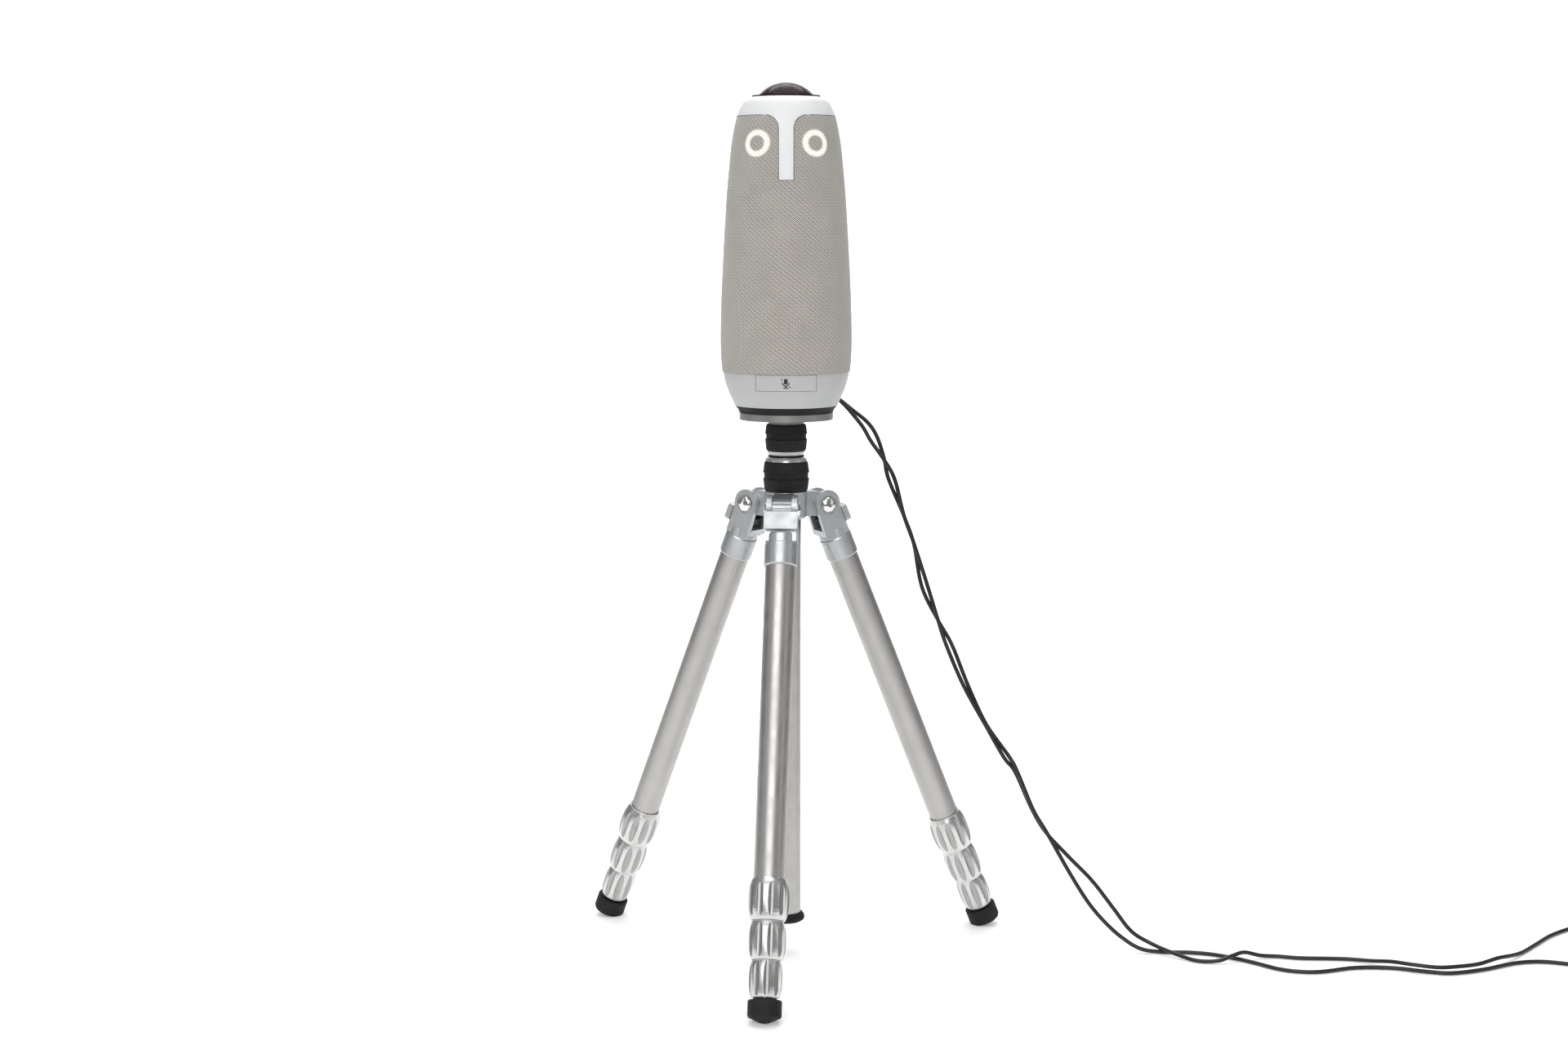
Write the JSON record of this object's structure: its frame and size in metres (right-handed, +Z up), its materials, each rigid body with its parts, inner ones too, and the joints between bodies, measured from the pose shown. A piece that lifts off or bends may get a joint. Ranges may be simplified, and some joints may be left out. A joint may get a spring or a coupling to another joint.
{
  "type": "conference camera on tripod",
  "caption": "Round conference camera with a lens dome and fabric sides on a folding tripod with twist-lock legs, a two-stage centre column and two leads.",
  "frame": {"origin": "on the floor, on the centre column's axis", "axes": "+Z up along the centre column; the camera's face looks along -Y"},
  "size_m": [0.9802, 0.333, 0.739],
  "materials": {
    "white_shell": "satin",
    "speaker_fabric": "knit",
    "dome_glass": "gloss",
    "black_plastic": "matte",
    "light_guide": "frosted",
    "circuit_board": "matte",
    "cast_grey": "satin",
    "satin_aluminium": "satin",
    "polished_aluminium": "polished",
    "chrome": "polished",
    "rubber": "matte",
    "cord_jacket": "satin"
  },
  "bodies": {
    "hub_frame": {"hub": "cast_grey", "hinge_bolts": "chrome", "usb_cord_lower": "cord_jacket", "usb_cord_coil": "cord_jacket", "power_cord_lower": "cord_jacket", "power_cord_coil": "cord_jacket", "usb_plug": "black_plastic", "power_adapter": "black_plastic"},
    "leg_front": {"leg_front_bracket": "cast_grey", "leg_front_tube_1": "satin_aluminium"},
    "tab_front": {"leg_front_stop_tab": "cast_grey"},
    "lock_front_1": {"leg_front_collar_1": "polished_aluminium"},
    "section_front_2": {"leg_front_tube_2": "satin_aluminium"},
    "lock_front_2": {"leg_front_collar_2": "polished_aluminium"},
    "section_front_3": {"leg_front_tube_3": "satin_aluminium"},
    "lock_front_3": {"leg_front_collar_3": "polished_aluminium"},
    "section_front_4": {"leg_front_tube_4": "satin_aluminium", "leg_front_foot": "rubber"},
    "leg_right": {"leg_right_bracket": "cast_grey", "leg_right_tube_1": "satin_aluminium"},
    "tab_right": {"leg_right_stop_tab": "cast_grey"},
    "lock_right_1": {"leg_right_collar_1": "polished_aluminium"},
    "section_right_2": {"leg_right_tube_2": "satin_aluminium"},
    "lock_right_2": {"leg_right_collar_2": "polished_aluminium"},
    "section_right_3": {"leg_right_tube_3": "satin_aluminium"},
    "lock_right_3": {"leg_right_collar_3": "polished_aluminium"},
    "section_right_4": {"leg_right_tube_4": "satin_aluminium", "leg_right_foot": "rubber"},
    "leg_left": {"leg_left_bracket": "cast_grey", "leg_left_tube_1": "satin_aluminium"},
    "tab_left": {"leg_left_stop_tab": "cast_grey"},
    "lock_left_1": {"leg_left_collar_1": "polished_aluminium"},
    "section_left_2": {"leg_left_tube_2": "satin_aluminium"},
    "lock_left_2": {"leg_left_collar_2": "polished_aluminium"},
    "section_left_3": {"leg_left_tube_3": "satin_aluminium"},
    "lock_left_3": {"leg_left_collar_3": "polished_aluminium"},
    "section_left_4": {"leg_left_tube_4": "satin_aluminium", "leg_left_foot": "rubber"},
    "column_lock": {"column_lock_ring": "satin_aluminium", "column_lock_grip": "rubber"},
    "column": {"column_tube": "satin_aluminium", "column_cap": "rubber"},
    "upper_lock": {"upper_lock_grip": "rubber"},
    "camera_stage": {"inner_column": "satin_aluminium", "mount_plate": "cast_grey", "mount_screw": "chrome", "lens_dome": "dome_glass", "lens_barrel": "black_plastic", "head_shell": "white_shell", "fabric_sleeve": "speaker_fabric", "core_frame": "black_plastic", "eye_rings": "light_guide", "base_shell": "white_shell", "base_ring": "rubber", "main_board": "circuit_board", "speakers": "black_plastic", "camera_plugs": "black_plastic", "usb_cord_upper": "cord_jacket", "power_cord_upper": "cord_jacket"},
    "mute": {"mute_button": "white_shell"}
  },
  "joints": [
    {"name": "leg_front_hinge", "type": "hinge", "parent": "hub_frame", "child": "leg_front", "pos_m": [-0.00296, -0.03387, 0.387], "axis": [0.9962, -0.0872, 0], "range_deg": [0, 23]},
    {"name": "leg_front_stop_tab_pull", "type": "slide", "parent": "leg_front", "child": "tab_front", "axis": [-0.0802, -0.917, 0.3907], "range_m": [0, 0.004], "stiffness_N_per_m": 400},
    {"name": "leg_front_collar_1_twist", "type": "hinge", "parent": "leg_front", "child": "lock_front_1", "pos_m": [-0.00296, -0.03387, 0.387], "axis": [-0.0341, -0.3892, -0.9205], "range_deg": [0, 90]},
    {"name": "leg_front_section_2_slide", "type": "slide", "parent": "leg_front", "child": "section_front_2", "axis": [-0.0341, -0.3892, -0.9205], "range_m": [0, 0.2]},
    {"name": "leg_front_collar_2_twist", "type": "hinge", "parent": "section_front_2", "child": "lock_front_2", "pos_m": [-0.00296, -0.03387, 0.387], "axis": [-0.0341, -0.3892, -0.9205], "range_deg": [0, 90]},
    {"name": "leg_front_section_3_slide", "type": "slide", "parent": "section_front_2", "child": "section_front_3", "axis": [-0.0341, -0.3892, -0.9205], "range_m": [0, 0.19]},
    {"name": "leg_front_collar_3_twist", "type": "hinge", "parent": "section_front_3", "child": "lock_front_3", "pos_m": [-0.00296, -0.03387, 0.387], "axis": [-0.0341, -0.3892, -0.9205], "range_deg": [0, 90]},
    {"name": "leg_front_section_4_slide", "type": "slide", "parent": "section_front_3", "child": "section_front_4", "axis": [-0.0341, -0.3892, -0.9205], "range_m": [0, 0.18]},
    {"name": "leg_right_hinge", "type": "hinge", "parent": "hub_frame", "child": "leg_right", "pos_m": [0.03081, 0.01437, 0.387], "axis": [-0.4226, 0.9063, 0], "range_deg": [0, 23]},
    {"name": "leg_right_stop_tab_pull", "type": "slide", "parent": "leg_right", "child": "tab_right", "axis": [0.8343, 0.389, 0.3907], "range_m": [0, 0.004], "stiffness_N_per_m": 400},
    {"name": "leg_right_collar_1_twist", "type": "hinge", "parent": "leg_right", "child": "lock_right_1", "pos_m": [0.03081, 0.01437, 0.387], "axis": [0.3541, 0.1651, -0.9205], "range_deg": [0, 90]},
    {"name": "leg_right_section_2_slide", "type": "slide", "parent": "leg_right", "child": "section_right_2", "axis": [0.3541, 0.1651, -0.9205], "range_m": [0, 0.2]},
    {"name": "leg_right_collar_2_twist", "type": "hinge", "parent": "section_right_2", "child": "lock_right_2", "pos_m": [0.03081, 0.01437, 0.387], "axis": [0.3541, 0.1651, -0.9205], "range_deg": [0, 90]},
    {"name": "leg_right_section_3_slide", "type": "slide", "parent": "section_right_2", "child": "section_right_3", "axis": [0.3541, 0.1651, -0.9205], "range_m": [0, 0.19]},
    {"name": "leg_right_collar_3_twist", "type": "hinge", "parent": "section_right_3", "child": "lock_right_3", "pos_m": [0.03081, 0.01437, 0.387], "axis": [0.3541, 0.1651, -0.9205], "range_deg": [0, 90]},
    {"name": "leg_right_section_4_slide", "type": "slide", "parent": "section_right_3", "child": "section_right_4", "axis": [0.3541, 0.1651, -0.9205], "range_m": [0, 0.18]},
    {"name": "leg_left_hinge", "type": "hinge", "parent": "hub_frame", "child": "leg_left", "pos_m": [-0.02785, 0.0195, 0.387], "axis": [-0.5736, -0.8192, 0], "range_deg": [0, 23]},
    {"name": "leg_left_stop_tab_pull", "type": "slide", "parent": "leg_left", "child": "tab_left", "axis": [-0.754, 0.528, 0.3907], "range_m": [0, 0.004], "stiffness_N_per_m": 400},
    {"name": "leg_left_collar_1_twist", "type": "hinge", "parent": "leg_left", "child": "lock_left_1", "pos_m": [-0.02785, 0.0195, 0.387], "axis": [-0.3201, 0.2241, -0.9205], "range_deg": [0, 90]},
    {"name": "leg_left_section_2_slide", "type": "slide", "parent": "leg_left", "child": "section_left_2", "axis": [-0.3201, 0.2241, -0.9205], "range_m": [0, 0.2]},
    {"name": "leg_left_collar_2_twist", "type": "hinge", "parent": "section_left_2", "child": "lock_left_2", "pos_m": [-0.02785, 0.0195, 0.387], "axis": [-0.3201, 0.2241, -0.9205], "range_deg": [0, 90]},
    {"name": "leg_left_section_3_slide", "type": "slide", "parent": "section_left_2", "child": "section_left_3", "axis": [-0.3201, 0.2241, -0.9205], "range_m": [0, 0.19]},
    {"name": "leg_left_collar_3_twist", "type": "hinge", "parent": "section_left_3", "child": "lock_left_3", "pos_m": [-0.02785, 0.0195, 0.387], "axis": [-0.3201, 0.2241, -0.9205], "range_deg": [0, 90]},
    {"name": "leg_left_section_4_slide", "type": "slide", "parent": "section_left_3", "child": "section_left_4", "axis": [-0.3201, 0.2241, -0.9205], "range_m": [0, 0.18]},
    {"name": "column_lock_twist", "type": "hinge", "parent": "hub_frame", "child": "column_lock", "pos_m": [0, 0, 0.4], "axis": [0, 0, 1], "range_deg": [0, 90]},
    {"name": "column_slide", "type": "slide", "parent": "hub_frame", "child": "column", "axis": [0, 0, 1], "range_m": [0, 0.28]},
    {"name": "upper_lock_twist", "type": "hinge", "parent": "column", "child": "upper_lock", "pos_m": [0, 0, 0.44], "axis": [0, 0, 1], "range_deg": [0, 90]},
    {"name": "inner_column_slide", "type": "slide", "parent": "column", "child": "camera_stage", "axis": [0, 0, 1], "range_m": [0, 0.28]},
    {"name": "mute_button_push", "type": "slide", "parent": "camera_stage", "child": "mute", "axis": [0, 1, 0], "range_m": [0, 0.0008], "stiffness_N_per_m": 800}
  ]
}
